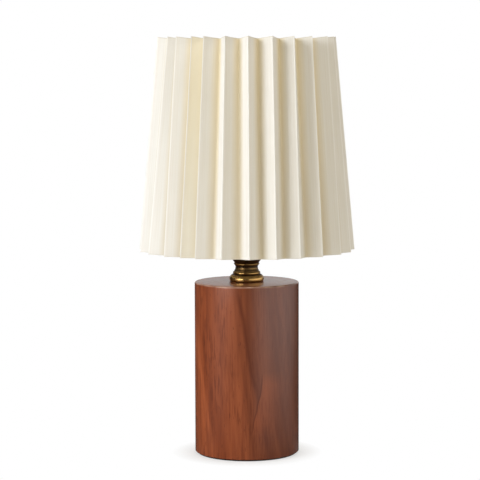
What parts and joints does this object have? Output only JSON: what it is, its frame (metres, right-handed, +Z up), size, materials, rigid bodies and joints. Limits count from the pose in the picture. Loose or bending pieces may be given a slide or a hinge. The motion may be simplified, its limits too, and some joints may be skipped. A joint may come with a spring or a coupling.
{
  "type": "table lamp",
  "caption": "Small table lamp with a turned wooden column base, an aged brass neck and a tapered pleated cloth shade on a wire frame.",
  "frame": {"origin": "centre of the felt pad's underside, on the table", "axes": "+Z up along the lamp's axis, -Y to the front, the cord inlet at +Y"},
  "size_m": [0.1999, 0.2, 0.3853],
  "materials": {
    "felt": "dark pressed felt",
    "stained_wood": "red-brown stain under satin lacquer",
    "brown_plastic": "moulded",
    "zinc_steel": "zinc plated",
    "spring_steel": "oiled spring steel",
    "yellow_brass": "bright turned brass",
    "aged_brass": "antiqued, dark in the hollows, lacquered",
    "black_phenolic": "moulded, satin",
    "porcelain": "unglazed white porcelain",
    "contact_brass": "pressed sheet brass",
    "white_enamel": "white epoxy coat",
    "pleated_cloth": "off-white pleated cloth with a slub weave",
    "bulb_metal": "nickel-coloured pressed shell",
    "bulb_black_glass": "black vitrite",
    "clear_glass": "clear",
    "lead_wire": "drawn wire",
    "filament_coat": "yellow phosphor coat"
  },
  "bodies": {
    "root": {"base_pad": "felt", "wood_base": "stained_wood", "cord_bushing": "brown_plastic", "base_washer": "zinc_steel", "spring_washer": "spring_steel", "base_nut": "yellow_brass", "threaded_tube": "zinc_steel", "brass_neck": "aged_brass", "neck_nut": "yellow_brass", "holder_cap": "black_phenolic", "grub_screw": "spring_steel", "contact_block": "porcelain", "terminal_screws": "contact_brass", "centre_contact": "contact_brass", "side_strap": "contact_brass", "screw_sleeve": "contact_brass", "holder_skirt": "black_phenolic"},
    "shade": {"fitter_ring": "white_enamel", "fitter_arms": "white_enamel", "bottom_ring": "white_enamel", "top_ring": "white_enamel", "frame_ribs": "white_enamel", "pleated_cover": "pleated_cloth"},
    "ring": {"shade_ring": "black_phenolic"},
    "bulb_tip": {"bulb_contact": "bulb_metal", "bulb_insulator": "bulb_black_glass"},
    "bulb": {"bulb_cap": "bulb_metal", "bulb_glass": "clear_glass", "bulb_stem": "clear_glass", "filament_leads": "lead_wire", "led_filaments": "filament_coat"}
  },
  "joints": [
    {"name": "shade_swivel", "type": "hinge", "parent": "root", "child": "shade", "pos_m": [0, 0, 0.212], "axis": [0, 0, 1], "continuous": true},
    {"name": "ring_turn", "type": "hinge", "parent": "root", "child": "ring", "pos_m": [0, 0, 0.2145], "axis": [0, 0, 1], "range_deg": [0, 1080]},
    {"name": "bulb_rise", "type": "slide", "parent": "root", "child": "bulb_tip", "axis": [0, 0, 1], "range_m": [0, 0.0182]},
    {"name": "bulb_turn", "type": "hinge", "parent": "bulb_tip", "child": "bulb", "pos_m": [0, 0, 0.2173], "axis": [0, 0, 1], "range_deg": [0, 1800]}
  ],
  "couplings": [
    {"joint": "bulb_rise", "follows": "bulb_turn", "m_per_rad": 0.00057751}
  ]
}
